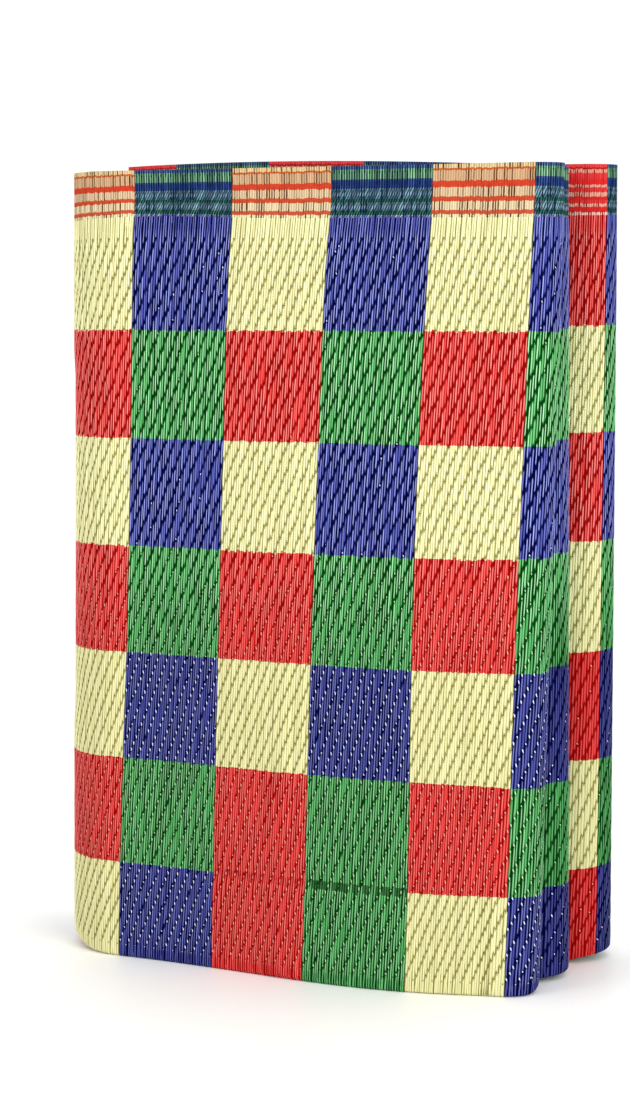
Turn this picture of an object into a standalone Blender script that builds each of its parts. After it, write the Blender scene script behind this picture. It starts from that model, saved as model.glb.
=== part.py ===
"""Woven plastic straw floor mat, folded in half and then back and forth, standing on its crease.

The mat is one piece of cloth. It is first folded in half lengthwise, so both hems meet at
the top and the crease runs along the foot. The doubled cloth is then folded back and forth
like a fan, into six panels. Its middle line, seen from above, runs through the bends in the
table BENDS. Each point of the line has a place at the foot and one at the top, because the
bends are pressed tighter at the hems than at the crease, and the whole bundle leans a
little to the right.
"""

import math
from collections import namedtuple

import bmesh
import bpy
from mathutils import Vector

MM = 0.001

# The mat laid out flat
LENGTH = 1829 * MM           # along the mat, across its straws
PLY = 2.0 * MM               # thickness of the woven cloth
HEM = 28 * MM                # height of the hem along each long side
HEM_PROUD = 0.3 * MM         # how far a hem stands out from the cloth below it
HEM_STEP = 2 * MM            # height over which it does so

# The doubled cloth
SLIT = 1.8 * MM              # air between its two plies
HALF = PLY + SLIT / 2        # from its middle line to its outer face
CREASE_ROUND = 2.2 * MM      # rounding on each side of the crease, which is flat between them
CREASE_STEPS = 3             # facets in that rounding
OUTER_LEVELS = (0.72, 0.50, 0.28, 0.09)  # shares of the height where an outer face has points
INNER_LEVELS = (0.62, 0.25)  # the same for the faces inside the slit

# The bends, in the order in which the middle line runs through them, in millimetres
Bend = namedtuple("Bend", "side start start_top near near_top far far_top reach reach_top lift spread hems")
# side       1 for a bend on the right, -1 for one on the left
# start      where the bend begins, left to right, at the foot and at the top
# near, far  depths of the panels in front of and behind it, at the foot and at the top
# reach      how far it bulges past its start, at the foot and at the top
# lift       how far the crease rises off the surface where the bend is pinched most
# spread     how widely it rises there: 0.1 for a corner alone, over 1 for the whole bend
# hems       height of the hems over the surface
BENDS = (
    Bend(-1, -12.8, -5.0, 10.5, 7.5, 99.5, 70.0, 42.0, 40.5, 9.3, 0.16, 451.5),
    Bend(1, 215.5, 234.8, 5.7, 5.7, 36.0, 27.9, 21.2, 14.1, 3.6, 0.12, 451.3),
    Bend(-1, -40.8, -29.0, 36.4, 25.0, 46.0, 35.0, 4.8, 5.0, 0.0, 1.0, 452.5),
    Bend(1, 222.0, 231.6, 42.6, 34.5, 78.4, 60.7, 19.3, 9.5, 3.0, 2.5, 450.8),
    Bend(-1, -24.7, -12.9, 69.2, 51.5, 79.0, 61.3, 4.8, 5.0, 0.0, 1.0, 453.0),
    Bend(1, 224.5, 240.3, 90.0, 74.0, 136.5, 103.0, 25.6, 16.8, 4.9, 2.5, 453.5),
)
PINCH_TURN = 22              # degrees from a bend's outermost point to where it is pinched most

# How far each panel sways towards the front, in millimetres: at the foot, halfway up and at
# the top, the share of its width, from the left, at which it sways most, and how far its hems
# rise there
Sway = namedtuple("Sway", "foot middle top peak crown")
SWAYS = (
    Sway(12.3, 6.9, -2.6, 0.67, 0.0),
    Sway(3.0, 2.0, 0.5, 0.50, 0.5),
    Sway(1.0, 1.5, -0.5, 0.45, 0.5),
    Sway(-1.5, -2.5, -0.5, 0.55, 0.5),
    Sway(-2.0, -2.5, 0.5, 0.50, 1.0),
    Sway(-4.0, 3.0, -1.0, 0.45, 3.5),
)

# The free ends: the first curls round the left of the bundle, the last lies flat at the back
CURL_ANGLE = 67              # degrees past the left-hand side at which the first one stops
LAST_DEPTH = 106.0           # depth of the last one at the foot, in millimetres
LAST_DEPTH_TOP = 84.0        # its depth at the top
LAST_HEMS = 458.0            # height of its hems

# Points along the middle line
PANEL_STEPS = 11             # spaces along a panel
WIDE_STEPS = 12              # spaces round a wide bend
TIGHT_STEPS = 8              # spaces round a tight one
TIGHT_REACH = 6.0            # a bend that reaches less than this is tight, in millimetres

MAT_COLOUR = (0.04, 0.07, 0.30, 1.0)     # the navy straw of the checks
MAT_ROUGHNESS = 0.35                     # smooth plastic, a little glossy

# A point of the middle line: its place at the foot and at the top, how much of its panel's
# sway it takes, and the heights of the crease and of the hems there
Station = namedtuple("Station", "foot top sway share lift hems")


def blend(low, high, share):
    """The value a share of the way from low to high."""
    return low + (high - low) * share


def bend_stations(bend, from_angle, to_angle):
    """Stations round one bend, between two angles counted from its outermost point."""
    tight = bend.reach < TIGHT_REACH
    steps = TIGHT_STEPS if tight else WIDE_STEPS
    stations = []
    for step in range(steps + 1):
        angle = math.radians(blend(from_angle, to_angle, step / steps))
        out, back = math.cos(angle), math.sin(angle)
        foot = (
            bend.start + bend.side * bend.reach * out,
            (bend.near + bend.far) / 2 + (bend.far - bend.near) / 2 * back,
        )
        top = (
            bend.start_top + bend.side * bend.reach_top * out,
            (bend.near_top + bend.far_top) / 2 + (bend.far_top - bend.near_top) / 2 * back,
        )
        pinched = max(math.cos(angle - bend.side * math.radians(PINCH_TURN)), 0.0)
        lift = bend.lift * pinched ** (1 / bend.spread)
        stations.append(Station(Vector(foot), Vector(top), SWAYS[0], 0.0, lift, bend.hems))
    return stations


def panel_stations(start, end, sway):
    """Stations between the end of one bend and the start of the next."""
    rightwards = end.foot.x > start.foot.x
    skew = math.log(0.5) / math.log(sway.peak)
    stations = []
    for step in range(1, PANEL_STEPS):
        along = step / PANEL_STEPS
        from_left = along if rightwards else 1 - along
        share = math.sin(math.pi * from_left ** skew)
        stations.append(
            Station(
                start.foot.lerp(end.foot, along),
                start.top.lerp(end.top, along),
                sway,
                share,
                0.0,
                blend(start.hems, end.hems, along) + sway.crown * share,
            )
        )
    return stations


def place(station, level):
    """Where the middle line passes a station, at a share of the height."""
    point = station.foot.lerp(station.top, level)
    sway = station.sway
    straight = blend(sway.foot, sway.top, level)
    belly = (sway.middle - (sway.foot + sway.top) / 2) * 4 * level * (1 - level)
    return Vector((point.x, point.y - station.share * (straight + belly))) * MM


def line_length(stations, level):
    """Length of the middle line at a share of the height."""
    places = [place(station, level) for station in stations]
    return sum((b - a).length for a, b in zip(places, places[1:]))


def middle_line():
    """All stations, from the free end at the left, through the panels, to the one at the back."""
    stations = bend_stations(BENDS[0], CURL_ANGLE, -90)
    for bend, sway in zip(BENDS[1:], SWAYS):
        arc = bend_stations(bend, -90, 90)
        stations += panel_stations(stations[-1], arc[0], sway)
        stations += arc
    left_over = (LENGTH - line_length(stations, 0.5)) / MM
    last = stations[-1]
    end = Station(
        Vector((last.foot.x - left_over, LAST_DEPTH)),
        Vector((last.top.x - left_over, LAST_DEPTH_TOP)),
        SWAYS[-1],
        0.0,
        0.0,
        LAST_HEMS,
    )
    return stations + panel_stations(last, end, SWAYS[-1]) + [end]


def outline(lift, hems):
    """Outline of the doubled cloth across its panels: (offset, height, share of the height).

    It runs down one outer face, over the crease, up the other face, and back through the slit.
    """
    rise = hems - lift
    step_top, step_foot = hems - HEM + HEM_STEP / 2, hems - HEM - HEM_STEP / 2
    outer = [(HALF + HEM_PROUD, hems), (HALF + HEM_PROUD, step_top), (HALF, step_foot)]
    outer += [(HALF, lift + rise * level) for level in OUTER_LEVELS]
    for step in range(CREASE_STEPS + 1):
        angle = math.radians(90 * step / CREASE_STEPS)
        across = HALF - CREASE_ROUND * (1 - math.cos(angle))
        outer.append((across, lift + CREASE_ROUND * (1 - math.sin(angle))))
    inner = [(SLIT / 2 + HEM_PROUD, hems), (SLIT / 2, step_foot)]
    inner += [(SLIT / 2, lift + rise * level) for level in INNER_LEVELS]
    inner += [(SLIT / 2, lift + PLY + SLIT / 2), (SLIT / 4, lift + PLY)]
    loop = outer + [(-across, height) for across, height in reversed(outer)]
    loop += [(-across, height) for across, height in inner]
    loop += [(across, height) for across, height in reversed(inner)]
    return [(across, height, (height - lift) / rise) for across, height in loop]


def section(stations, index):
    """The outline set square across the middle line at one station."""
    here = stations[index]
    before = stations[max(index - 1, 0)]
    after = stations[min(index + 1, len(stations) - 1)]
    points = []
    for across, height, level in outline(here.lift * MM, here.hems * MM):
        along = (place(after, level) - place(before, level)).normalized()
        point = place(here, level) + Vector((along.y, -along.x)) * across
        points.append(Vector((point.x, point.y, height)))
    return points


def cloth_mesh():
    """The folded cloth: a grid of sections lofted along the middle line and closed at both ends."""
    stations = middle_line()
    sections = [section(stations, index) for index in range(len(stations))]
    around = len(sections[0])
    body = bmesh.new()
    bmesh.ops.create_grid(body, x_segments=around, y_segments=len(sections) - 1, size=1)
    grid = sorted(body.verts, key=lambda vertex: (round(vertex.co.y, 6), round(vertex.co.x, 6)))
    for index, vertex in enumerate(grid):
        row, column = divmod(index, around + 1)
        vertex.co = sections[row][column % around]
    bmesh.ops.remove_doubles(body, verts=body.verts, dist=0.00001)
    open_edges = [edge for edge in body.edges if edge.is_boundary]
    bmesh.ops.holes_fill(body, edges=open_edges, sides=0)
    bmesh.ops.triangulate(body, faces=body.faces)
    bmesh.ops.recalc_face_normals(body, faces=body.faces)
    centre_on_foot(body)
    mesh = bpy.data.meshes.new("mat")
    body.to_mesh(mesh)
    body.free()
    return mesh


def centre_on_foot(body):
    """Move the cloth so that the middle of its footprint is the origin."""
    xs = [vertex.co.x for vertex in body.verts]
    ys = [vertex.co.y for vertex in body.verts]
    middle = Vector(((min(xs) + max(xs)) / 2, (min(ys) + max(ys)) / 2, 0))
    bmesh.ops.translate(body, verts=body.verts, vec=-middle)


def straw_material():
    """Flat polypropylene straw: smooth coloured plastic."""
    material = bpy.data.materials.new("polypropylene_straw")
    material.use_nodes = True
    shader = material.node_tree.nodes["Principled BSDF"]
    shader.inputs["Base Color"].default_value = MAT_COLOUR
    shader.inputs["Roughness"].default_value = MAT_ROUGHNESS
    shader.inputs["Metallic"].default_value = 0.0
    return material


def main():
    for old in list(bpy.data.objects):
        bpy.data.objects.remove(old, do_unlink=True)
    parts = bpy.data.collections.new("folded_floor_mat")
    bpy.context.scene.collection.children.link(parts)
    mesh = cloth_mesh()
    mesh.materials.append(straw_material())
    mat = bpy.data.objects.new("mat", mesh)
    parts.objects.link(mat)
    mesh.shade_smooth()
    mesh.set_sharp_from_angle(angle=math.radians(40))


main()
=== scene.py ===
"""Looks of the folded floor mat: a checked mat woven from flat plastic straws.

Every piece of it starts as a flat grid on the mat laid out flat, with u running along the mat
and v across it from one hem to the other. The grid is then carried to its place in the fold.
"""

import math
from collections import namedtuple

import bmesh
import bpy
import numpy as np
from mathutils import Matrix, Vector


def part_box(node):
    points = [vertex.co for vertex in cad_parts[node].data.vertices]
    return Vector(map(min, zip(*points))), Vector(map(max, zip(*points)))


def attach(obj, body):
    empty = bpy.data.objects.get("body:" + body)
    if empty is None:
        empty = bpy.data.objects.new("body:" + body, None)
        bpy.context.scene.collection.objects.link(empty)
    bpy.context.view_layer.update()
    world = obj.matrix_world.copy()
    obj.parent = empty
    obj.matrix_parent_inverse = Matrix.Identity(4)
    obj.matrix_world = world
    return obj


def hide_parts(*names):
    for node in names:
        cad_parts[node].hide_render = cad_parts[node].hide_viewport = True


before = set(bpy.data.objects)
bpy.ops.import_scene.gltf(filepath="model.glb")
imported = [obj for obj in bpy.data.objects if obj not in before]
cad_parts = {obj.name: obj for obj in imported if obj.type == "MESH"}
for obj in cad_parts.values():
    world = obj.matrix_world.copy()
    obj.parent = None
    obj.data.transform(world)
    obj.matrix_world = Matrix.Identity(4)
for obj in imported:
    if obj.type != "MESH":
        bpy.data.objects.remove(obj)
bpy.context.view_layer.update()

# The cloth
# One length of mat, woven of polypropylene straws held by thin tie threads, with a turned and
# stitched hem along each long side. It is folded in half lengthwise, hems up, and then folded
# back and forth in six panels, so that it stands on its crease like a fan.
MM = 0.001
LENGTH = 1829 * MM
WIDTH = 914 * MM
HEM = 28 * MM
STRAWS = 1260                   # straws side by side along the mat
STRAW = LENGTH / STRAWS         # their pitch, 1.45 mm
COLUMN = 40 * STRAW             # width of a check; the last one is half of one
ROW = (WIDTH - 2 * HEM) / 14    # height of a check; there are 14 from hem to hem
TIE = ROW / 16.5                # pitch of the tie threads, 3.71 mm

HALF = 2.9 * MM              # from the middle of the doubled cloth to its outer face
BACKING = 2.55 * MM          # the same to the cloth between and under the raised straws
SLIT = 0.9 * MM              # the same to the inner face
HEM_PROUD = 0.2 * MM         # how far a hem stands out from the cloth below it
CREASE_ROUND = 2.2 * MM      # rounding of the crease on each side of its flat strip
CREASE_NEAR = 400 * MM       # from here down the weave gives way to what the crease takes up

# The bends in the order in which the middle line runs through them, in millimetres. side is 1
# on the right and -1 on the left, start is where the bend begins from left to right, near and
# far are the depths of the panels in front of and behind it, reach is how far it bulges, all
# at the foot and at the top, lift is how far the crease rises where the bend is pinched most,
# spread is how widely it rises there, and hems is the height of the hems.
Bend = namedtuple("Bend", "side start start_top near near_top far far_top reach reach_top lift spread hems")
BENDS = (
    Bend(-1, -12.8, -5.0, 10.5, 7.5, 99.5, 70.0, 42.0, 40.5, 9.3, 0.16, 451.5),
    Bend(1, 215.5, 234.8, 5.7, 5.7, 36.0, 27.9, 21.2, 14.1, 3.6, 0.12, 451.3),
    Bend(-1, -40.8, -29.0, 36.4, 25.0, 46.0, 35.0, 4.8, 5.0, 0.0, 1.0, 452.5),
    Bend(1, 222.0, 231.6, 42.6, 34.5, 78.4, 60.7, 19.3, 9.5, 3.0, 2.5, 450.8),
    Bend(-1, -24.7, -12.9, 69.2, 51.5, 79.0, 61.3, 4.8, 5.0, 0.0, 1.0, 453.0),
    Bend(1, 224.5, 240.3, 90.0, 74.0, 136.5, 103.0, 25.6, 16.8, 4.9, 2.5, 453.5),
)
PINCH_TURN = 22              # degrees from a bend's outermost point to where it is pinched most

# How far each panel sways forward at the foot, halfway up and at the top, the share of its
# width, from the left, at which it sways most, and how far its hems rise there
Sway = namedtuple("Sway", "foot middle top peak crown")
SWAYS = (
    Sway(12.3, 6.9, -2.6, 0.67, 0.0),
    Sway(3.0, 2.0, 0.5, 0.50, 0.5),
    Sway(1.0, 1.5, -0.5, 0.45, 0.5),
    Sway(-1.5, -2.5, -0.5, 0.55, 0.5),
    Sway(-2.0, -2.5, 0.5, 0.50, 1.0),
    Sway(-4.0, 3.0, -1.0, 0.45, 3.5),
)
CURL_ANGLE = 67              # degrees by which the first free end passes the left-hand side
LAST_DEPTH = 106.0           # depth of the other free end at the foot
LAST_DEPTH_TOP = 84.0        # its depth at the top
LAST_HEMS = 458.0            # height of its hems
BEND_STEPS = 24              # spaces between stations round a bend
PANEL_STEPS = 24             # spaces between them along a panel
SETTLED = 1 / 11             # share of a panel over which its crease comes down to the surface

# The middle line is a row of stations, each with these values in millimetres
FOOT_X, FOOT_Y, TOP_X, TOP_Y, FOOT_SWAY, MIDDLE_SWAY, TOP_SWAY, LIFT, HEMS = range(9)


def bend_line(bend, first_angle, last_angle):
    """Stations of the middle line round one bend, between two angles from its outermost point."""
    angle = np.radians(np.linspace(first_angle, last_angle, BEND_STEPS + 1))
    out, back = np.cos(angle), np.sin(angle)
    pinched = np.maximum(np.cos(angle - bend.side * math.radians(PINCH_TURN)), 0)
    stations = np.zeros((len(angle), HEMS + 1))
    stations[:, FOOT_X] = bend.start + bend.side * bend.reach * out
    stations[:, FOOT_Y] = (bend.near + bend.far) / 2 + (bend.far - bend.near) / 2 * back
    stations[:, TOP_X] = bend.start_top + bend.side * bend.reach_top * out
    stations[:, TOP_Y] = (bend.near_top + bend.far_top) / 2 + (bend.far_top - bend.near_top) / 2 * back
    stations[:, LIFT] = bend.lift * pinched ** (1 / bend.spread)
    stations[:, HEMS] = bend.hems
    return stations


def panel_line(start, end, sway):
    """Stations of the middle line along one panel, between two others."""
    along = np.arange(1, PANEL_STEPS) / PANEL_STEPS
    from_left = along if end[FOOT_X] > start[FOOT_X] else 1 - along
    share = np.sin(np.pi * from_left ** (math.log(0.5) / math.log(sway.peak)))
    stations = start + (end - start) * along[:, None]
    stations[:, FOOT_SWAY] = share * sway.foot
    stations[:, MIDDLE_SWAY] = share * sway.middle
    stations[:, TOP_SWAY] = share * sway.top
    stations[:, LIFT] = start[LIFT] * np.maximum(1 - along / SETTLED, 0)
    stations[:, HEMS] += sway.crown * share
    return stations


def plan(stations, level):
    """Where the middle line passes its stations at a share of the height, in millimetres."""
    foot_x, foot_y, top_x, top_y, foot_sway, middle_sway, top_sway = stations.T[:LIFT]
    straight = foot_sway + (top_sway - foot_sway) * level
    belly = (middle_sway - (foot_sway + top_sway) / 2) * 4 * level * (1 - level)
    x = foot_x + (top_x - foot_x) * level
    return np.stack([x, foot_y + (top_y - foot_y) * level - straight - belly], axis=-1)


def distances(stations):
    """Distance of each station along the middle line halfway up, in millimetres."""
    steps = np.linalg.norm(np.diff(plan(stations, 0.5), axis=0), axis=1)
    return np.concatenate([[0], np.cumsum(steps)])


line = bend_line(BENDS[0], CURL_ANGLE, -90)
for bend, sway in zip(BENDS[1:], SWAYS):
    arc = bend_line(bend, -90, 90)
    line = np.concatenate([line, panel_line(line[-1], arc[0], sway), arc])
left_over = LENGTH / MM - distances(line)[-1]
end = line[-1].copy()
end[[FOOT_X, TOP_X]] -= left_over
end[[FOOT_Y, TOP_Y]] = LAST_DEPTH, LAST_DEPTH_TOP
end[[LIFT, HEMS]] = 0, LAST_HEMS
line = np.concatenate([line, panel_line(line[-1], end, SWAYS[-1]), end[None]])
line_u = distances(line) * MM

# Soft creases pressed into the mat by hand and by the way it was packed: a trough has a
# negative depth and a ridge a positive one. Each runs straight from one place on the flat mat
# to another, in millimetres, and its width is that from its middle to where it fades.
Crease = namedtuple("Crease", "u v to_u to_v depth width")
CREASES = (
    Crease(176, 394, 292, 394, -0.9, 5),
    Crease(120, 34, 132, 92, 1.0, 9),
    Crease(176, 30, 172, 78, -0.8, 8),
    Crease(236, 30, 240, 110, 0.9, 10),
    Crease(292, 32, 288, 84, -0.8, 9),
    Crease(128, 250, 150, 420, -1.0, 16),
    Crease(206, 300, 222, 452, 0.9, 15),
    Crease(300, 180, 312, 330, 0.8, 14),
    Crease(60, 120, 70, 300, -0.9, 14),
    Crease(1560, 120, 1580, 320, 1.0, 16),
    Crease(1660, 40, 1668, 180, -0.9, 14),
    Crease(1620, 394, 1740, 398, -0.8, 6),
    Crease(1740, 220, 1750, 420, 0.8, 15),
)


def creased(u, v):
    """How far the creases move the cloth outwards at (u, v)."""
    moved = np.zeros(np.broadcast(u, v).shape)
    for crease in CREASES:
        start = np.array([crease.u, crease.v]) * MM
        run = np.array([crease.to_u, crease.to_v]) * MM - start
        from_start = np.stack(np.broadcast_arrays(u, v), axis=-1) - start
        share = np.clip(from_start @ run / (run @ run), 0, 1)
        away = np.linalg.norm(from_start - share[..., None] * run, axis=-1)
        moved += crease.depth * MM * np.exp(-((away / (crease.width * MM)) ** 2))
    return moved


# The weave isn't quite square to the folds. Each pull shifts it along the mat and down towards
# the crease, most at one place, and fades over a width along the mat and a height across it.
Pull = namedtuple("Pull", "u v along down width height")
PULLS = (
    Pull(116, 457, -6.0, 0.0, 42, 190),
    Pull(232, 457, 1.5, 0.0, 35, 150),
    Pull(290, 457, 6.2, 0.0, 38, 190),
    Pull(348, 457, 1.2, 0.0, 26, 130),
    Pull(200, 20, 1.8, 0.0, 110, 26),
    Pull(128, 28, 0.0, -2.4, 55, 14),
    Pull(335, 28, 0.0, 0.8, 45, 14),
    Pull(366, 212, 0.0, -1.3, 30, 35),
    Pull(366, 334, 0.0, 1.6, 30, 35),
    Pull(951, 150, 0.0, -2.6, 60, 90),
    Pull(951, 340, 0.0, 3.8, 60, 45),
    Pull(1495, 180, 0.0, -2.3, 22, 70),
    Pull(1495, 396, 0.0, 2.2, 22, 45),
    Pull(1530, 190, 0.0, -3.2, 25, 110),
)


def line_at(u):
    """The stations of the middle line at distances u."""
    return np.stack([np.interp(u, line_u, column) for column in line.T], axis=-1)


def folded(u, v, out):
    """Places in the fold of points at (u, v) on the flat mat, at a distance out from the middle
    of the doubled cloth."""
    for pull in PULLS:
        away = ((u / MM - pull.u) / pull.width) ** 2 + ((v / MM - pull.v) / pull.height) ** 2
        u = u + pull.along * MM * np.exp(-away)
        v = v + pull.down * MM * np.exp(-away)
    stations = line_at(u)
    lift, hems = stations[:, LIFT] * MM, stations[:, HEMS] * MM

    # How far the point lies down its face, round the crease and in from the strip's edge
    strip = HALF - CREASE_ROUND
    turn_length = CREASE_ROUND * math.pi / 2
    straight = hems - lift - CREASE_ROUND
    down = np.minimum(v, WIDTH - v)
    give = (straight + turn_length + strip - CREASE_NEAR) / (WIDTH / 2 - CREASE_NEAR)
    down = np.where(down > CREASE_NEAR, CREASE_NEAR + (down - CREASE_NEAR) * give, down)
    turn = np.clip((down - straight) / turn_length, 0, 1) * math.pi / 2
    inwards = np.clip(down - straight - turn_length, 0, strip)
    radius = out - strip
    height = np.where(down < straight, hems - down, lift + CREASE_ROUND - radius * np.sin(turn))
    height = np.maximum(height, 0)
    across = strip - inwards + radius * np.cos(turn)

    # Square to the middle line, whose direction is taken over a step to each side
    level = (height - lift) / (hems - lift)
    step = 0.5 * MM
    run = plan(line_at(u + step), level) - plan(line_at(u - step), level)
    run /= np.linalg.norm(run, axis=1)[:, None]
    side = np.where(v <= WIDTH / 2, 1, -1) * (across + creased(u, v) * (down < straight))
    place = plan(stations, level) * MM + np.stack([run[:, 1], -run[:, 0]], axis=1) * side[:, None]
    return np.concatenate([place, height[:, None]], axis=1)


# The model's origin is under the middle of its box, and the line's is not. The line's box is
# the widest of two long rows of points, one in the hem and one just above the crease.
every_u = np.linspace(0, LENGTH, 3000)
extent = np.concatenate([folded(every_u, every_u * 0 + v, HALF) for v in (10 * MM, 440 * MM)])
fold_shift = Vector(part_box("mat")[0]).to_2d() - Vector(extent.min(axis=0)[:2])


def carried(mesh, u, v, out):
    """Carry a flat mesh's points to their place in the fold, and keep (u, v) as its UV map."""
    places = folded(u, v, out)
    places[:, :2] += np.array(fold_shift)
    mesh.vertices.foreach_set("co", places.astype(np.float32).ravel())
    mesh.uv_layers.new(name="flat")
    map_flat(mesh, u, v)
    mesh.shade_smooth()


def map_flat(mesh, u, v):
    """Write each point's (u, v) to the corners that meet there."""
    corners = np.zeros(len(mesh.loops), dtype=np.int32)
    mesh.loops.foreach_get("vertex_index", corners)
    flat = np.stack([u, v], axis=1)[corners].astype(np.float32)
    mesh.uv_layers["flat"].uv.foreach_set("vector", flat.ravel())


def grid_mesh(name, across, down, unwanted=None):
    """A flat grid of points, across by down, with the index of each point's column and row."""
    body = bmesh.new()
    bmesh.ops.create_grid(body, x_segments=across - 1, y_segments=down - 1, size=1)
    if unwanted:
        bmesh.ops.delete(body, geom=[face for face in body.faces if unwanted(face)], context="FACES")
    mesh = bpy.data.meshes.new(name)
    body.to_mesh(mesh)
    body.free()
    flat = np.zeros(len(mesh.vertices) * 3, dtype=np.float32)
    mesh.vertices.foreach_get("co", flat)
    flat = flat.reshape(-1, 3)
    column = np.rint((flat[:, 0] + 1) / 2 * (across - 1)).astype(int)
    row = np.rint((1 - flat[:, 1]) / 2 * (down - 1)).astype(int)
    return mesh, column, row


# Rows of points from a hem's edge down to the crease, closer together where the hem ends and
# where the cloth turns
half_rows = np.concatenate(
    [
        [0, 2, 6, 10, 14, 18, 22, 26, 27.2, 28.8],
        np.linspace(34, 440, 51),
        np.linspace(444, 456.5, 12),
    ]
) * MM
cloth_rows = np.concatenate([half_rows, [WIDTH / 2], WIDTH - half_rows[::-1]])
mesh, column, row = grid_mesh("mat_cloth", len(line_u), len(cloth_rows))
cloth_u, cloth_v = line_u[column], cloth_rows[row]
thickened = np.minimum(cloth_v, WIDTH - cloth_v) < HEM
carried(mesh, cloth_u, cloth_v, (BACKING + SLIT) / 2 + thickened * HEM_PROUD)
cloth = bpy.data.objects.new("mat_cloth", mesh)
bpy.context.scene.collection.objects.link(cloth)
ply = cloth.modifiers.new("thickness", "SOLIDIFY")
ply.thickness = BACKING - SLIT
ply.offset = 0
ply.material_offset = 1
ply.material_offset_rim = 1
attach(cloth, "root")
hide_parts("mat")

# The weave
# Woven polypropylene straw: extruded flat film, dyed in the mass, so it is smooth and a little
# glossy. Each straw floats over three tie threads and dips under the fourth, and the next one
# dips a thread higher, which gives the eye a fine diagonal twill, drawn here at its real size.
FLOAT = 4                    # tie threads in one repeat of the weave
PLAIN_TOP = 9 * MM           # below the hem the straws run straight this far
PLAIN_FOOT = 8 * MM          # and above the crease this far
TOP_FADE = 3 * MM            # on each side of its end, the upper plain stretch fades this far
FOOT_FADE = 2 * MM           # and the lower one fades upwards this far

# Each check has five tones: its straw; the streak of light along it, which is a painted highlight;
# its edges and the dark beside a dip, which are painted shade; and the thread that shows there,
# which in the cream checks is dark, painted shade in the dip
Tones = namedtuple("Tones", "straw streak edge hole thread")
NAVY = Tones("#222B8C", "#A8B2F8", "#030640", "#030632", "#E2E6FF")
GREEN = Tones("#399E4A", "#BEFCC0", "#073E0E", "#05300A", "#B8E2B2")
RED = Tones("#DC2824", "#FFA298", "#A00808", "#860505", "#F0AC9A")
CREAM = Tones("#E6E3AC", "#FAF8C8", "#CCC78A", "#827E44", "#746C34")

RAGGED = 0.6 * MM            # height over which the edge of a row of checks strays
TURNED_COLUMN = 25           # the column with its two colours changed round
FAULTY_COLUMNS = 3.5         # the middle of the two columns with a band of missing floats
FAULTY_ROW = 6               # the row below that band
FAULT = 2.4 * MM             # half the band's height
# Where the upper rows end and the lower ones start, and where the front ends and the fold on the right
# starts: the weave, the painted highlight and the painted shade all change there
UPPER_END = 205 * MM         # the weave changes between the upper rows, down to here,
LOWER_START = 275 * MM       # and the lower ones, from here down
FRONT_END = 7                # it changes too between the front, up to this column,
FOLD_START = 9               # and the fold on the right, from this one on
# The streak of light along the floats is a painted highlight
DULLEST = 0.1                # strength of the streak of light on the dullest float,
BRIGHTEST = 1.0              # and on the brightest
PLAIN_STREAK = 0.55          # share of it where the straws run straight,
FRONT_STREAK = 0.6           # in the lower rows of the front,
FOLD_STREAK = 0.2            # and in those of the fold
# Painted shade: the lower rows are painted darker, towards the edge tone, by these shares
FRONT_SHADE = 0.28            # how much deeper the colours are in the lower rows of the front,
FOLD_SHADE = 0.46             # and in those of the fold
SECOND_SHADE = 0.5            # share of that in the second colours, which are red and green
# A dip's dark is painted shade in the hole where the straw dips under its tie
HOLE = (0.18, 0.46)          # half of the width, in straws, and height, in ties, of a dip's dark
DOT = (0.20, 0.29)           # the same of the thread that shows in a dip
UPPER_THREADS = 0.02         # share of the dips that show their thread in the upper rows,
LOWER_THREADS = 0.88         # and in the lower ones
FOLD_THREADS = 0.12          # share of those that still do at the fold
NARROWEST_GAP = 0.10         # how far the straws' edges move into the narrowest gap, in straws,
WIDEST_GAP = -0.15           # and into the widest, where they move back

# The stretches of the mat that show, whose straws are raised: their first and last straws
Raised = namedtuple("Raised", "name first last")
RAISED = (
    Raised("straws_left", 0, 84),
    Raised("straws_front", 84, 292),
    Raised("straws_right", 616, 700),
    Raised("straws_back_fold", 994, 1080),
    Raised("straws_back", 1080, 1260),
)


def linear(hex_colour):
    """A colour written as sRGB hex, as Blender's linear RGBA."""
    values = [int(hex_colour[place:place + 2], 16) / 255 for place in (1, 3, 5)]
    return [v / 12.92 if v <= 0.04045 else ((v + 0.055) / 1.055) ** 2.4 for v in values] + [1.0]


def node(tree, kind, inputs, output=0, **settings):
    """Add a node with its settings, and values or links on its inputs; returns an output."""
    added = tree.nodes.new(kind)
    for name, value in settings.items():
        setattr(added, name, value)
    for socket, value in inputs.items():
        if isinstance(value, bpy.types.NodeSocket):
            tree.links.new(value, added.inputs[socket])
        else:
            added.inputs[socket].default_value = value
    return added.outputs[output]


# A point's place in the weave: u and v, its distance below the hem, how many straws along the
# mat it is, how far in from its straw's edge, how far from the nearest dip, in ties, the number
# of its float, a random number for its straw and for its float, and 1 where there are dips
Weave = namedtuple("Weave", "u v below straws from_edge from_dip float_number luck float_luck woven")


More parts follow.
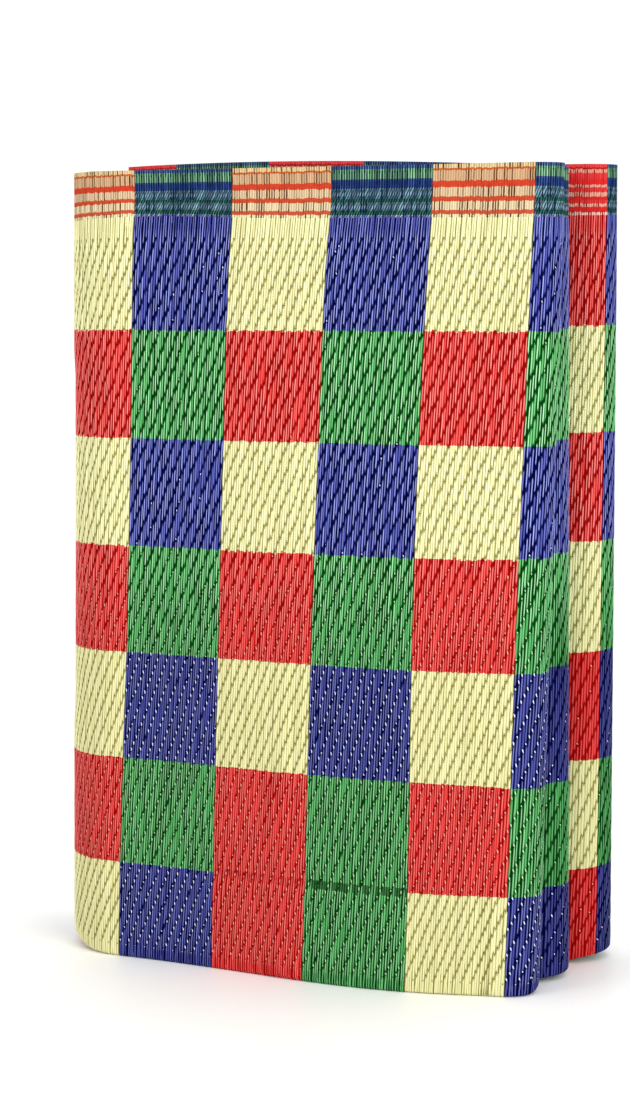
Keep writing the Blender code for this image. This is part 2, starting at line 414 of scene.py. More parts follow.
def weave_at(tree):
    """The place in the weave, read from the mat's (u, v)."""
    flat = node(tree, "ShaderNodeUVMap", {}, uv_map="flat")
    u = node(tree, "ShaderNodeSeparateXYZ", {0: flat})
    v = u.node.outputs[1]
    straws = node(tree, "ShaderNodeMath", {0: u, 1: STRAW}, operation="DIVIDE")
    straw = node(tree, "ShaderNodeMath", {0: straws}, operation="FLOOR")
    luck = node(tree, "ShaderNodeTexWhiteNoise", {"W": straw}, noise_dimensions="1D")
    from_edge = node(tree, "ShaderNodeMath", {0: straws, 1: 0.5}, operation="PINGPONG")
    below = node(tree, "ShaderNodeMath", {0: v, 1: HEM}, operation="SUBTRACT")

    # The dips of each straw lie a tie higher than those of the one before it
    along = node(tree, "ShaderNodeMath", {0: below, 1: TIE}, operation="DIVIDE")
    along = node(tree, "ShaderNodeMath", {0: along, 1: straw}, operation="ADD")
    from_dip = node(tree, "ShaderNodeMath", {0: along, 1: FLOAT / 2}, operation="PINGPONG")
    float_number = node(tree, "ShaderNodeMath", {0: along, 1: FLOAT}, operation="DIVIDE")
    float_number = node(tree, "ShaderNodeMath", {0: float_number}, operation="FLOOR")
    float_place = node(tree, "ShaderNodeCombineXYZ", {0: straw, 1: float_number})
    float_luck = node(tree, "ShaderNodeTexWhiteNoise", {"Vector": float_place}, noise_dimensions="2D")

    # Below the hems and above the crease the straws run straight, without dips
    top, foot = HEM + PLAIN_TOP, WIDTH / 2 - PLAIN_FOOT
    from_top = node(tree, "ShaderNodeMapRange", {0: v, 1: top - TOP_FADE, 2: top + TOP_FADE})
    to_foot = node(tree, "ShaderNodeMapRange", {0: v, 1: foot - FOOT_FADE, 2: foot, 3: 1.0, 4: 0.0})
    past_foot = node(tree, "ShaderNodeMath", {0: v, 1: WIDTH - foot}, operation="GREATER_THAN")
    woven = node(tree, "ShaderNodeMath", {0: to_foot, 1: past_foot}, operation="MAXIMUM")
    woven = node(tree, "ShaderNodeMath", {0: woven, 1: from_top}, operation="MULTIPLY")
    straight = node(tree, "ShaderNodeMapRange", {0: woven, 3: FLOAT / 2, 4: 0.0})
    from_dip = node(tree, "ShaderNodeMath", {0: from_dip, 1: straight}, operation="MAXIMUM")
    float_luck = node(tree, "ShaderNodeMix", {0: woven, 2: luck, 3: float_luck}, data_type="FLOAT")
    return Weave(u, v, below, straws, from_edge, from_dip, float_number, luck, float_luck, woven)


# A point's check: how many columns along the mat it is, the number of its column, and 1 in a
# warm column, in a check of its column's second colour, in the turned column and in a faulty one
Check = namedtuple("Check", "columns number warm second turned faulty")


def check_at(tree, weave, swapped):
    """The check at a place. The edge of a row is a little ragged, because each straw turns
    where it can. swapped changes the two colours round everywhere."""
    ragged = {0: weave.luck, 1: RAGGED, 2: weave.below}
    ragged = node(tree, "ShaderNodeMath", ragged, operation="MULTIPLY_ADD")
    ragged = node(tree, "ShaderNodeMath", {0: ragged, 1: RAGGED / 2}, operation="SUBTRACT")
    ragged = node(tree, "ShaderNodeMath", {0: ragged, 1: 0.0}, operation="MAXIMUM")
    rows = node(tree, "ShaderNodeMath", {0: ragged, 1: ROW}, operation="DIVIDE")
    row = node(tree, "ShaderNodeMath", {0: rows}, operation="FLOOR")
    columns = node(tree, "ShaderNodeMath", {0: weave.u, 1: COLUMN}, operation="DIVIDE")
    number = node(tree, "ShaderNodeMath", {0: columns}, operation="FLOOR")
    odd_row = node(tree, "ShaderNodeMath", {0: row, 1: 2.0}, operation="FLOORED_MODULO")
    warm = node(tree, "ShaderNodeMath", {0: number, 1: 2.0}, operation="FLOORED_MODULO")

    # One column is woven with its two colours changed round, and in two columns the last row
    # of the front keeps the colours of the row above it, below a band of missing floats
    turned = node(tree, "ShaderNodeMath", {0: number, 1: TURNED_COLUMN, 2: 0.1}, operation="COMPARE")
    faulty = node(tree, "ShaderNodeMath", {0: number, 1: FAULTY_COLUMNS, 2: 0.6}, operation="COMPARE")
    last = node(tree, "ShaderNodeMath", {0: row, 1: FAULTY_ROW, 2: 0.1}, operation="COMPARE")
    kept = node(tree, "ShaderNodeMath", {0: faulty, 1: last}, operation="MULTIPLY")
    odd_row = node(tree, "ShaderNodeMath", {0: odd_row, 1: kept}, operation="MAXIMUM")
    odd_row = node(tree, "ShaderNodeMath", {0: odd_row, 1: turned}, operation="SUBTRACT")
    if swapped:
        odd_row = node(tree, "ShaderNodeMath", {0: odd_row, 1: 1.0}, operation="SUBTRACT")
    second = node(tree, "ShaderNodeMath", {0: odd_row}, operation="ABSOLUTE")
    return Check(columns, number, warm, second, turned, faulty)


def tones_of(tree, check):
    """The five tones of a check, as colour outputs."""
    tones = []
    for tone in Tones._fields:
        warm_pair = {0: check.second, 6: linear(getattr(CREAM, tone)), 7: linear(getattr(RED, tone))}
        cool_pair = {0: check.second, 6: linear(getattr(NAVY, tone)), 7: linear(getattr(GREEN, tone))}
        warm_tone = node(tree, "ShaderNodeMix", warm_pair, 2, data_type="RGBA")
        cool_tone = node(tree, "ShaderNodeMix", cool_pair, 2, data_type="RGBA")
        both = {0: check.warm, 6: cool_tone, 7: warm_tone}
        tones.append(node(tree, "ShaderNodeMix", both, 2, data_type="RGBA"))
    return Tones(*tones)


def float_paint(tree, weave, check, tones):
    """The colour of a float. A painted highlight, a streak of light, runs along it, on some floats
    more than on others and less in the lower rows, and the lower rows are painted darker with
    painted shade, most of all at the fold on the right."""
    streak = node(tree, "ShaderNodeMapRange", {0: weave.float_luck, 3: DULLEST, 4: BRIGHTEST})
    middle = node(tree, "ShaderNodeMapRange", {0: weave.from_edge, 1: 0.20, 2: 0.42})
    streak = node(tree, "ShaderNodeMath", {0: streak, 1: middle}, operation="MULTIPLY")
    on_float = node(tree, "ShaderNodeMapRange", {0: weave.from_dip, 1: 0.15, 2: 0.75})
    streak = node(tree, "ShaderNodeMath", {0: streak, 1: on_float}, operation="MULTIPLY")
    dulled = node(tree, "ShaderNodeMapRange", {0: weave.woven, 3: PLAIN_STREAK, 4: 1.0})
    streak = node(tree, "ShaderNodeMath", {0: streak, 1: dulled}, operation="MULTIPLY")
    # The painted highlight is weaker in the lower rows, most of all at the fold on the right
    faded = {0: check.columns, 1: FRONT_END, 2: FOLD_START, 3: FRONT_STREAK, 4: FOLD_STREAK}
    faded = node(tree, "ShaderNodeMapRange", faded)
    fading = {0: weave.v, 1: UPPER_END, 2: LOWER_START, 3: 1.0, 4: faded}
    fading = node(tree, "ShaderNodeMapRange", fading)
    streak = node(tree, "ShaderNodeMath", {0: streak, 1: fading}, operation="MULTIPLY")
    lit = {0: streak, 6: tones.straw, 7: tones.streak}
    lit = node(tree, "ShaderNodeMix", lit, 2, data_type="RGBA")
    # Painted shade: the lower rows are painted darker, towards the edge tone, most at the fold
    deepest_shade = {0: check.columns, 1: FRONT_END, 2: FOLD_START, 3: FRONT_SHADE, 4: FOLD_SHADE}
    deepest_shade = node(tree, "ShaderNodeMapRange", deepest_shade)
    in_second = node(tree, "ShaderNodeMapRange", {0: check.second, 3: 1.0, 4: SECOND_SHADE})
    deepest_shade = node(tree, "ShaderNodeMath", {0: deepest_shade, 1: in_second}, operation="MULTIPLY")
    lower_shade = {0: weave.v, 1: UPPER_END, 2: LOWER_START, 3: 0.0, 4: deepest_shade}
    lower_shade = node(tree, "ShaderNodeMapRange", lower_shade)
    return node(tree, "ShaderNodeMix", {0: lower_shade, 6: lit, 7: tones.edge}, 2, data_type="RGBA")


def gap_by(tree, weave):
    """How much painted shade there is by a straw's edges, more so near its dips, and the number of
    the gap there. Some gaps between straws are nearly closed and others wide."""
    gap_number = node(tree, "ShaderNodeMath", {0: weave.straws}, operation="ROUND")
    gap_place = node(tree, "ShaderNodeCombineXYZ", {0: gap_number, 1: weave.float_number})
    gap_luck = node(tree, "ShaderNodeTexWhiteNoise", {"Vector": gap_place}, noise_dimensions="2D")
    filled = {0: gap_luck, 1: 0.1, 2: 0.9, 3: NARROWEST_GAP, 4: WIDEST_GAP}
    filled = node(tree, "ShaderNodeMapRange", filled)
    pinch = node(tree, "ShaderNodeMapRange", {0: weave.from_dip, 1: 0.1, 2: 0.6, 3: 0.05, 4: 0.0})
    edge = node(tree, "ShaderNodeMath", {0: weave.from_edge, 1: pinch}, operation="SUBTRACT")
    edge = node(tree, "ShaderNodeMath", {0: edge, 1: filled}, operation="ADD")
    edge = node(tree, "ShaderNodeMapRange", {0: edge, 1: 0.13, 2: 0.34, 3: 1.0, 4: 0.0})
    return edge, gap_number


def mark_at_dip(tree, weave, half_width, half_height):
    """1 in an oval at each dip, with a soft edge."""
    from_middle = node(tree, "ShaderNodeMath", {0: 0.5, 1: weave.from_edge}, operation="SUBTRACT")
    wide = node(tree, "ShaderNodeMath", {0: from_middle, 1: half_width}, operation="DIVIDE")
    high = node(tree, "ShaderNodeMath", {0: weave.from_dip, 1: half_height}, operation="DIVIDE")
    wide = node(tree, "ShaderNodeMath", {0: wide, 1: 2.0}, operation="POWER")
    oval = node(tree, "ShaderNodeMath", {0: high, 1: high, 2: wide}, operation="MULTIPLY_ADD")
    return node(tree, "ShaderNodeMapRange", {0: oval, 1: 0.7, 2: 1.2, 3: 1.0, 4: 0.0})


def covered_at(tree, weave):
    """1 on the cloth beneath raised straws, which gets painted shade where they part."""
    covered = 0.0
    for stretch in RAISED:
        middle, reach = (stretch.first + stretch.last) / 2, (stretch.last - stretch.first) / 2
        here = node(tree, "ShaderNodeMath", {0: weave.straws, 1: middle, 2: reach}, operation="COMPARE")
        covered = node(tree, "ShaderNodeMath", {0: here, 1: covered}, operation="MAXIMUM")
    outside = node(tree, "ShaderNodeMath", {0: weave.v, 1: WIDTH / 2}, operation="LESS_THAN")
    return node(tree, "ShaderNodeMath", {0: covered, 1: outside}, operation="MULTIPLY")


def thread_at(tree, weave, check):
    """1 where the tie thread shows, in few dips of the upper rows and most of the lower ones."""
    dot = mark_at_dip(tree, weave, *DOT)
    showing = {0: weave.v, 1: UPPER_END, 2: LOWER_START, 3: UPPER_THREADS, 4: LOWER_THREADS}
    showing = node(tree, "ShaderNodeMapRange", showing)
    in_front = {0: check.columns, 1: FRONT_END, 2: FOLD_START, 3: 1.0, 4: FOLD_THREADS}
    in_front = node(tree, "ShaderNodeMapRange", in_front)
    showing = node(tree, "ShaderNodeMath", {0: showing, 1: in_front}, operation="MULTIPLY")

    # Stretched and cut to its fraction, the float's random number serves as a second one
    dot_luck = node(tree, "ShaderNodeMath", {0: weave.float_luck, 1: 7.13}, operation="MULTIPLY")
    dot_luck = node(tree, "ShaderNodeMath", {0: dot_luck}, operation="FRACT")
    shown = node(tree, "ShaderNodeMath", {0: dot_luck, 1: showing}, operation="LESS_THAN")
    return node(tree, "ShaderNodeMath", {0: dot, 1: shown}, operation="MULTIPLY")


def fault_at(tree, weave, check):
    """How dark the band of missing floats is, which shows less in the warm column."""
    fault = {0: weave.v, 1: HEM + FAULTY_ROW * ROW, 2: FAULT}
    fault = node(tree, "ShaderNodeMath", fault, operation="COMPARE")
    fault = node(tree, "ShaderNodeMath", {0: fault, 1: check.faulty}, operation="MULTIPLY")
    faint = node(tree, "ShaderNodeMapRange", {0: check.warm, 3: 1.0, 4: 0.5})
    fault = node(tree, "ShaderNodeMath", {0: fault, 1: faint}, operation="MULTIPLY")
    missing = node(tree, "ShaderNodeMapRange", {0: weave.luck, 1: 0.3, 2: 0.4, 3: 0.1, 4: 0.85})
    return node(tree, "ShaderNodeMath", {0: fault, 1: missing}, operation="MULTIPLY")


# The hems
# Along each long side the straws' ends are turned in and stitched down, with polypropylene
# thread in colours that go with the checks. The rows of stitches run across the straws as
# stripes, and between the stripes the gaps between the straws show, painted dark as shade.

# A stripe begins at a share of the hem's height, from the top edge down. In the cool columns
# slanting dashes of a second colour lie on the stripes.
Stripe = namedtuple("Stripe", "start colour")
WARM_HEM = (
    Stripe(0.00, "#E6CC94"), Stripe(0.08, "#C25A34"), Stripe(0.12, "#D6AE84"),
    Stripe(0.32, "#C8402A"), Stripe(0.44, "#DFC39C"), Stripe(0.61, "#C44A2E"),
    Stripe(0.70, "#E6D4AA"), Stripe(0.86, "#C4523A"), Stripe(0.94, "#EAE4B4"),
)
RED_HEM = (
    Stripe(0.00, "#D4393A"), Stripe(0.06, "#A81A1C"), Stripe(0.10, "#DE9C86"),
    Stripe(0.17, "#D22A2A"), Stripe(0.40, "#E2AA92"), Stripe(0.45, "#CE2828"),
    Stripe(0.55, "#E2AA92"), Stripe(0.63, "#CE2828"), Stripe(0.77, "#E2AA92"),
    Stripe(0.83, "#CE2828"), Stripe(0.94, "#EBCDB8"),
)
COOL_HEM = (
    Stripe(0.00, "#16285C"), Stripe(0.07, "#14402A"), Stripe(0.26, "#101F5A"),
    Stripe(0.44, "#0C2A40"), Stripe(0.64, "#0C2C30"), Stripe(0.71, "#0C2C40"),
    Stripe(0.87, "#0A2A26"), Stripe(0.95, "#1C2A78"),
)
COOL_DASHES = (
    Stripe(0.00, "#4A6AA0"), Stripe(0.07, "#8AC692"), Stripe(0.26, "#3A5288"),
    Stripe(0.44, "#86AEC0"), Stripe(0.64, "#3A7A56"), Stripe(0.71, "#92B8C8"),
    Stripe(0.87, "#42805C"), Stripe(0.95, "#C4CEEA"),
)
# Painted shade in the gaps between the hem's straws, one colour for each kind of column
WARM_GAP = "#52290E"         # between the straws of a cream column
RED_GAP = "#8A1010"          # between those of a red one
COOL_GAP = "#081A30"         # and between those of a cool one
STRIPE_STRAY = 0.012         # share of the hem's height by which a straw's stripes stray
LOWERED_COLUMN = 30          # the column whose stripes lie lower,
LOWERED = 0.07               # by this share of the hem's height
SLANT_TOP = 12 * MM          # the dashes slant from here down,
SLANT_RUN = 3.5 * MM         # by a straw's width over this height
GAP_TOP = 0.11               # the gaps are cut off by the middles of stripes, from this share
GAP_STEP = 0.27              # of the height down and this far apart


def stripes(tree, share, table):
    """The colours of a table of stripes at a share of the hem's height."""
    colour = node(tree, "ShaderNodeValToRGB", {0: share})
    ramp = colour.node.color_ramp
    ramp.interpolation = "CONSTANT"
    ramp.elements.remove(ramp.elements[1])
    ramp.elements[0].color = linear(table[0].colour)
    for stripe in table[1:]:
        ramp.elements.new(stripe.start).color = linear(stripe.colour)
    return colour


def hem_at(tree, weave, check, gap_number, swapped):
    """The hems' colour, and 1 in a hem."""
    past = node(tree, "ShaderNodeMath", {0: WIDTH, 1: weave.v}, operation="SUBTRACT")
    to_edge = node(tree, "ShaderNodeMath", {0: weave.v, 1: past}, operation="MINIMUM")
    in_hem = node(tree, "ShaderNodeMath", {0: to_edge, 1: HEM}, operation="LESS_THAN")
    far_side = node(tree, "ShaderNodeMath", {0: weave.v, 1: WIDTH / 2}, operation="GREATER_THAN")
    other = node(tree, "ShaderNodeMath", {0: far_side, 1: check.turned}, operation="SUBTRACT")
    if swapped:
        other = node(tree, "ShaderNodeMath", {0: other, 1: 1.0}, operation="SUBTRACT")
    other = node(tree, "ShaderNodeMath", {0: other}, operation="ABSOLUTE")
    share = node(tree, "ShaderNodeMath", {0: to_edge, 1: HEM}, operation="DIVIDE")
    uneven = node(tree, "ShaderNodeMapRange", {0: weave.luck, 3: -STRIPE_STRAY, 4: STRIPE_STRAY})
    uneven = node(tree, "ShaderNodeMath", {0: uneven, 1: share}, operation="ADD")
    lowered = {0: check.number, 1: LOWERED_COLUMN, 2: 0.1}
    lowered = node(tree, "ShaderNodeMath", lowered, operation="COMPARE")
    uneven = node(tree, "ShaderNodeMath", {0: lowered, 1: LOWERED, 2: uneven}, operation="MULTIPLY_ADD")

    # The stripes of the warm columns, and those of the cool ones with their slanting dashes
    warm_hem = {0: other, 6: stripes(tree, uneven, WARM_HEM), 7: stripes(tree, uneven, RED_HEM)}
    warm_hem = node(tree, "ShaderNodeMix", warm_hem, 2, data_type="RGBA")
    slant = node(tree, "ShaderNodeMath", {0: to_edge, 1: SLANT_TOP}, operation="SUBTRACT")
    slant = node(tree, "ShaderNodeMath", {0: slant, 1: 0.0}, operation="MAXIMUM")
    slant = {0: slant, 1: 1 / SLANT_RUN, 2: weave.straws}
    slant = node(tree, "ShaderNodeMath", slant, operation="MULTIPLY_ADD")
    dash = node(tree, "ShaderNodeMath", {0: slant, 1: 0.5}, operation="PINGPONG")
    dash = node(tree, "ShaderNodeMapRange", {0: dash, 1: 0.12, 2: 0.36})
    dash_number = node(tree, "ShaderNodeMath", {0: slant}, operation="FLOOR")
    dash_luck = node(tree, "ShaderNodeTexWhiteNoise", {"W": dash_number}, noise_dimensions="1D")
    dash_luck = node(tree, "ShaderNodeMapRange", {0: dash_luck, 3: 0.2, 4: 1.0})
    dash = node(tree, "ShaderNodeMath", {0: dash, 1: dash_luck}, operation="MULTIPLY")
    cool_hem = {0: dash, 6: stripes(tree, uneven, COOL_HEM), 7: stripes(tree, share, COOL_DASHES)}
    cool_hem = node(tree, "ShaderNodeMix", cool_hem, 2, data_type="RGBA")
    hem = node(tree, "ShaderNodeMix", {0: check.warm, 6: cool_hem, 7: warm_hem}, 2, data_type="RGBA")

    # Painted shade in the gaps between the straws, less where the red stitches of a warm column cross them
    band = node(tree, "ShaderNodeMath", {0: share, 1: GAP_TOP}, operation="SUBTRACT")
    band = node(tree, "ShaderNodeMath", {0: band, 1: GAP_STEP}, operation="DIVIDE")
    band = node(tree, "ShaderNodeMath", {0: band}, operation="FLOOR")
    band_place = node(tree, "ShaderNodeCombineXYZ", {0: gap_number, 1: band})
    gap_luck = node(tree, "ShaderNodeTexWhiteNoise", {"Vector": band_place}, noise_dimensions="2D")
    gap_luck = node(tree, "ShaderNodeMapRange", {0: gap_luck, 1: 0.3, 2: 0.9, 3: 0.35, 4: 1.0})
    greenness = node(tree, "ShaderNodeSeparateColor", {0: hem}, 1)
    crossed = node(tree, "ShaderNodeMapRange", {0: greenness, 1: 0.06, 2: 0.2, 3: 0.4, 4: 1.0})
    crossed = node(tree, "ShaderNodeMix", {0: check.warm, 2: 1.0, 3: crossed}, data_type="FLOAT")
    groove = node(tree, "ShaderNodeMapRange", {0: weave.from_edge, 1: 0.20, 2: 0.48, 3: 1.0, 4: 0.0})
    groove = node(tree, "ShaderNodeMath", {0: groove, 1: gap_luck}, operation="MULTIPLY")
    groove = node(tree, "ShaderNodeMath", {0: groove, 1: crossed}, operation="MULTIPLY")
    warm_gap = {0: other, 6: linear(WARM_GAP), 7: linear(RED_GAP)}
    warm_gap = node(tree, "ShaderNodeMix", warm_gap, 2, data_type="RGBA")
    gap = {0: check.warm, 6: linear(COOL_GAP), 7: warm_gap}
    gap = node(tree, "ShaderNodeMix", gap, 2, data_type="RGBA")
    return node(tree, "ShaderNodeMix", {0: groove, 6: hem, 7: gap}, 2, data_type="RGBA"), in_hem


def straw_material(name, swapped=False, beneath=False):
    """The mat's straws: its checks, hems and weave.

    swapped is for the mat's inner face, which has the checks' two colours changed round, and
    beneath for the cloth beneath raised straws, which gets painted shade where they part.
    """
    material = bpy.data.materials.new(name)
    material.use_nodes = True
    tree = material.node_tree
    shader = tree.nodes["Principled BSDF"]
    weave = weave_at(tree)
    check = check_at(tree, weave, swapped)
    tones = tones_of(tree, check)

    # The checks, with painted shade by the straws' edges, on the cloth beneath raised straws and
    # in the dips, and with the threads and the fault on top
    paint = float_paint(tree, weave, check, tones)
    edge, gap_number = gap_by(tree, weave)
    hole = mark_at_dip(tree, weave, *HOLE)
    covered = covered_at(tree, weave) if beneath else 0.0
    thread = thread_at(tree, weave, check)
    fault = fault_at(tree, weave, check)
    layers = (
        (edge, tones.edge),
        (covered, tones.hole),
        (hole, tones.hole),
        (thread, tones.thread),
        (fault, tones.edge),
    )
    for share, tone in layers:
        paint = node(tree, "ShaderNodeMix", {0: share, 6: paint, 7: tone}, 2, data_type="RGBA")
    hem, in_hem = hem_at(tree, weave, check, gap_number, swapped)
    paint = node(tree, "ShaderNodeMix", {0: in_hem, 6: paint, 7: hem}, 2, data_type="RGBA")

    # No two straws took the dye quite alike
    shade = node(tree, "ShaderNodeMapRange", {0: weave.luck, 3: 0.92, 4: 1.06})
    paint = node(tree, "ShaderNodeHueSaturation", {"Value": shade, "Color": paint})
    tree.links.new(paint, shader.inputs["Base Color"])
    shader.inputs["Roughness"].default_value = 0.40
    shader.inputs["IOR"].default_value = 1.49

    # Only the floats are high enough to catch the light, and they are rounded
    dark = node(tree, "ShaderNodeMath", {0: edge, 1: hole}, operation="MAXIMUM")
    dark = node(tree, "ShaderNodeMath", {0: dark, 1: covered}, operation="MAXIMUM")
    gloss = node(tree, "ShaderNodeMapRange", {0: dark, 3: 0.35, 4: 0.0})
    tree.links.new(gloss, shader.inputs["Specular IOR Level"])
    rounded = node(tree, "ShaderNodeMapRange", {0: weave.from_edge, 1: 0.0, 2: 0.35})
    relief = node(tree, "ShaderNodeMath", {0: hole, 1: 0.8}, operation="MULTIPLY")
    relief = node(tree, "ShaderNodeMath", {0: rounded, 1: relief}, operation="SUBTRACT")
    bump = node(tree, "ShaderNodeBump", {"Height": relief, "Strength": 0.5, "Distance": 0.3 * MM})
    tree.links.new(bump, shader.inputs["Normal"])
    return material


cloth.data.materials.append(straw_material("woven_polypropylene_straw", beneath=True))
cloth.data.materials.append(straw_material("woven_polypropylene_back", swapped=True))

# The raised straws
# Every straw of the outer faces, as the flat ribbon it is: it floats over three tie threads,
# dips under the fourth into the cloth, runs on under the stitches of the hem and round the
# crease. They are joined in a few pieces, one for each stretch of the mat that shows.
STRAW_HALF = 0.65 * MM       # half of a straw's width
FLOAT_OUT = 0.36 * MM        # height of a float over the cloth, by its dips
FLOAT_RISE = 0.14 * MM       # how much higher it is in its middle
DIP_OUT = 0.06 * MM          # height of a straw over the cloth in a dip or under a stitch
EDGE_DROP = 0.28 * MM        # how much lower a straw's edges are, so in a dip they are in the cloth
OUT_STRAY = 0.03 * MM        # how far a straw's height strays
SIDE_STRAY = 0.05 * MM       # how far a whole straw strays sideways
LEAN = 0.26 * MM             # how far a float's ends lean to one side and the other
SWING = 0.17 * MM            # how far a float's middle strays sideways
BUNCH = 0.15 * MM            # how far straws draw together, in fours, by the hem and the crease
SPLAY = 0.12 * MM            # how far each of them strays there
SPLAY_TOP = 17 * MM          # height below the hem over which they do so
SPLAY_FOOT = 18 * MM         # and height above the crease
PAIRING = 0.13 * MM          # how far the straws of a pair move together in the hem

# Rows of points across the hem, in millimetres from its edge, and those of them that lie under
# a row of stitches
HEM_ROWS = np.array(
    [0, 1.8, 3.1, 4.6, 7.6, 9.5, 11.9, 13.6, 15.8, 17.6, 18.8, 20.4, 22.8, 24.7, 25.9, 27.4]
)
STITCHES = np.array([3.1, 9.5, 11.9, 17.6, 18.8, 24.7, 25.9])

# Rows of points in one repeat of the weave, counted in ties from its dip, and the share of its
# width that a straw has there
DIP_ROWS = np.array([-0.26, 0.0, 0.26, 1.15, 2.0, 2.85])
DIP_WIDTHS = np.array([0.92, 0.80, 0.92, 1.0, 1.0, 1.0])
REPEATS = 28                 # repeats of the weave from hem to crease

# Rows of points round the crease
FOOT_ROWS = np.linspace(WIDTH / 2 - 4.5 * MM, WIDTH / 2 + 6 * MM, 10)
STRAW_ROWS = len(HEM_ROWS) + REPEATS * len(DIP_ROWS) - 1 + len(FOOT_ROWS)

# How far dips stray from their tie, in ties, at distances from the mat's edge
Stray = namedtuple("Stray", "v ties")
STRAYS = (
    Stray(44 * MM, 0.0),
    Stray(60 * MM, 0.40),
    Stray(UPPER_END, 0.40),
    Stray(LOWER_START, 0.12),
    Stray(430 * MM, 0.12),
    Stray(445 * MM, 0.0),
)
raised_material = straw_material("raised_polypropylene_straw")


def straw_places(straw, row):
    """Where a straw's rows of points lie across the mat, and which row of which repeat each is."""
    repeat, member = np.divmod(row - len(HEM_ROWS), len(DIP_ROWS))
    v = HEM + TIE * ((repeat + 1) * FLOAT - straw % FLOAT + DIP_ROWS[member])
    v = np.where(row < len(HEM_ROWS), HEM_ROWS[np.minimum(row, len(HEM_ROWS) - 1)] * MM, v)
    foot_row = row - (STRAW_ROWS - len(FOOT_ROWS))
    return np.where(foot_row >= 0, FOOT_ROWS[np.maximum(foot_row, 0)], v), repeat, member


def straws(name, first, last):
    """The raised straws from one number to another, as one mesh."""
    count = last - first

    def between(face):
        middle = (face.calc_center_median().x + 1) / 2 * (3 * count - 1)
        return int(middle) % 3 == 2

    # A straw is three columns of points, and the faces between two straws are left out
    mesh, column, row = grid_mesh(name, 3 * count, STRAW_ROWS, between)
    straw, across = column // 3 + first, column % 3 - 1
    v, repeat, member = straw_places(straw, row)
    woven = (v > HEM + PLAIN_TOP) & (v < WIDTH / 2 - PLAIN_FOOT)
    in_hem = v < HEM
    stitched = in_hem & (np.abs(v[:, None] / MM - STITCHES).min(axis=1) < 0.1)
    past_dip = DIP_ROWS[member]
    by_dip = np.abs(past_dip) < 1
    along_float = past_dip % FLOAT / FLOAT
    chances = np.random.default_rng(11).uniform(-1, 1, size=(3, STRAWS, REPEATS + 3))
    stray, swing, lift = chances[:, straw, np.clip(repeat, -1, REPEATS) + 1]
    luck = np.random.default_rng(7).normal(size=(STRAWS, 3))[straw]
    stray = stray * np.interp(v, *zip(*STRAYS)) * TIE * by_dip

    # How high over the cloth
    middle = np.sin(math.pi * along_float) * woven
    height = FLOAT_OUT + FLOAT_RISE * middle * (1 + 0.5 * lift) + OUT_STRAY * luck[:, 0]
    dipped = (woven & (past_dip == 0)) | stitched
    height = np.where(dipped, DIP_OUT, height) - (across != 0) * EDGE_DROP

    # How far to the side
    width = np.where(woven, DIP_WIDTHS[member], 1)
    sideways = LEAN * (1 - 2 * along_float) * (past_dip != 0) * woven + SWING * swing * middle
    splayed = np.sin(math.pi * np.clip((v - HEM) / SPLAY_TOP, 0, 1))
    splayed = splayed + np.sin(math.pi * np.clip((v - WIDTH / 2) / SPLAY_FOOT + 1, 0, 1))
    bunched = (FLOAT - 1) / 2 - straw % FLOAT
    sideways = sideways + (SPLAY * luck[:, 1] + BUNCH * bunched) * splayed
    sideways = sideways + PAIRING * np.where(straw % 2 == 0, 1, -1) * in_hem
    sideways = sideways + SIDE_STRAY * luck[:, 2]
    middle_u = (straw + 0.5) * STRAW

    # The map keeps each straw's place in an even weave, so that its pattern moves with it
    carried(mesh, middle_u + across * STRAW_HALF * width + sideways, v + stray, BACKING + height)
    map_flat(mesh, middle_u + across * STRAW_HALF, v)
    mesh.materials.append(raised_material)
    piece = bpy.data.objects.new(name, mesh)
    bpy.context.scene.collection.objects.link(piece)
    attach(piece, "root")
    return piece


on_the_mat = [straws(*stretch) for stretch in RAISED]

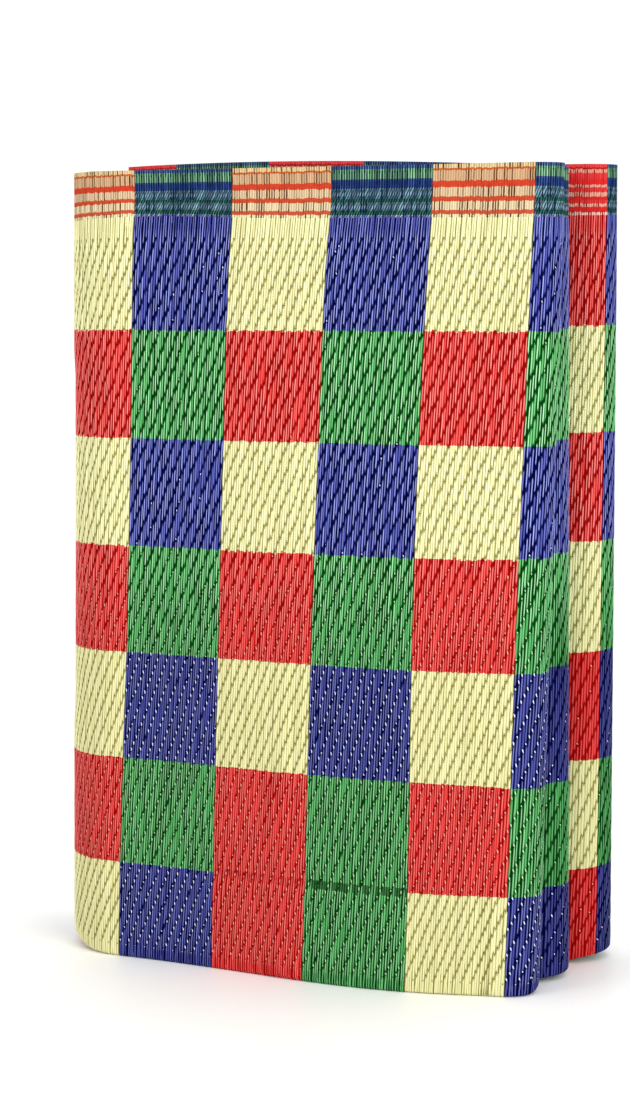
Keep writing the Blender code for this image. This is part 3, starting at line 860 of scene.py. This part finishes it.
# The floor and the light
# A plain pale floor, painted matt, under a white room, with soft studio light from the front,
# from the right and from above.
floor_body = bmesh.new()
bmesh.ops.create_grid(floor_body, x_segments=1, y_segments=1, size=4)
floor_mesh = bpy.data.meshes.new("floor")
floor_body.to_mesh(floor_mesh)
floor_body.free()
floor = bpy.data.objects.new("floor", floor_mesh)
bpy.context.scene.collection.objects.link(floor)
floor_paint = bpy.data.materials.new("matt_floor_paint")
floor_paint.use_nodes = True
floor_shader = floor_paint.node_tree.nodes["Principled BSDF"]
floor_shader.inputs["Base Color"].default_value = linear("#FCFCFA")
floor_shader.inputs["Roughness"].default_value = 0.5
floor_mesh.materials.append(floor_paint)

world = bpy.data.worlds.new("studio")
world.use_nodes = True
background = world.node_tree.nodes["Background"]
background.inputs["Color"].default_value = linear("#FFFFFF")
background.inputs["Strength"].default_value = 1.04
bpy.context.scene.world = world

Lamp = namedtuple("Lamp", "name place aim size power")
LAMPS = (
    Lamp("key", (-0.9, -1.5, 1.1), (0, 0, 0.25), 0.8, 6),
    Lamp("fill", (1.3, -0.9, 0.7), (0, 0, 0.25), 0.9, 9),
    Lamp("top", (0.2, 0.1, 1.6), (0, 0, 0.2), 0.8, 3),
)
for lamp in LAMPS:
    light_data = bpy.data.lights.new(lamp.name, "AREA")
    light_data.size = lamp.size
    light_data.energy = lamp.power
    light = bpy.data.objects.new(lamp.name, light_data)
    light.location = lamp.place
    light.rotation_euler = (Vector(lamp.aim) - Vector(lamp.place)).to_track_quat("-Z", "Y").to_euler()
    bpy.context.scene.collection.objects.link(light)

# The camera
# It stands in front of the mat and to its right, a little above its middle, and looks down at
# it slightly, as in the photograph.
CAMERA_PLACE = (0.568, -1.4041, 0.3741)
CAMERA_TURN = 22.475         # degrees to the left of straight ahead
CAMERA_DOWN = 5.254          # degrees below the horizon
FOCAL_SHARE = 2639 / 1103    # focal length as a share of the picture's height
SENSOR = 36.0                # height of the sensor, in millimetres
camera_data = bpy.data.cameras.new("camera")
camera_data.sensor_width = SENSOR
camera_data.lens = SENSOR * FOCAL_SHARE
camera = bpy.data.objects.new("camera", camera_data)
camera.location = CAMERA_PLACE
camera.rotation_euler = (math.radians(90 - CAMERA_DOWN), 0, math.radians(CAMERA_TURN))
bpy.context.scene.collection.objects.link(camera)
bpy.context.scene.camera = camera
bpy.context.scene.view_settings.view_transform = "Standard"
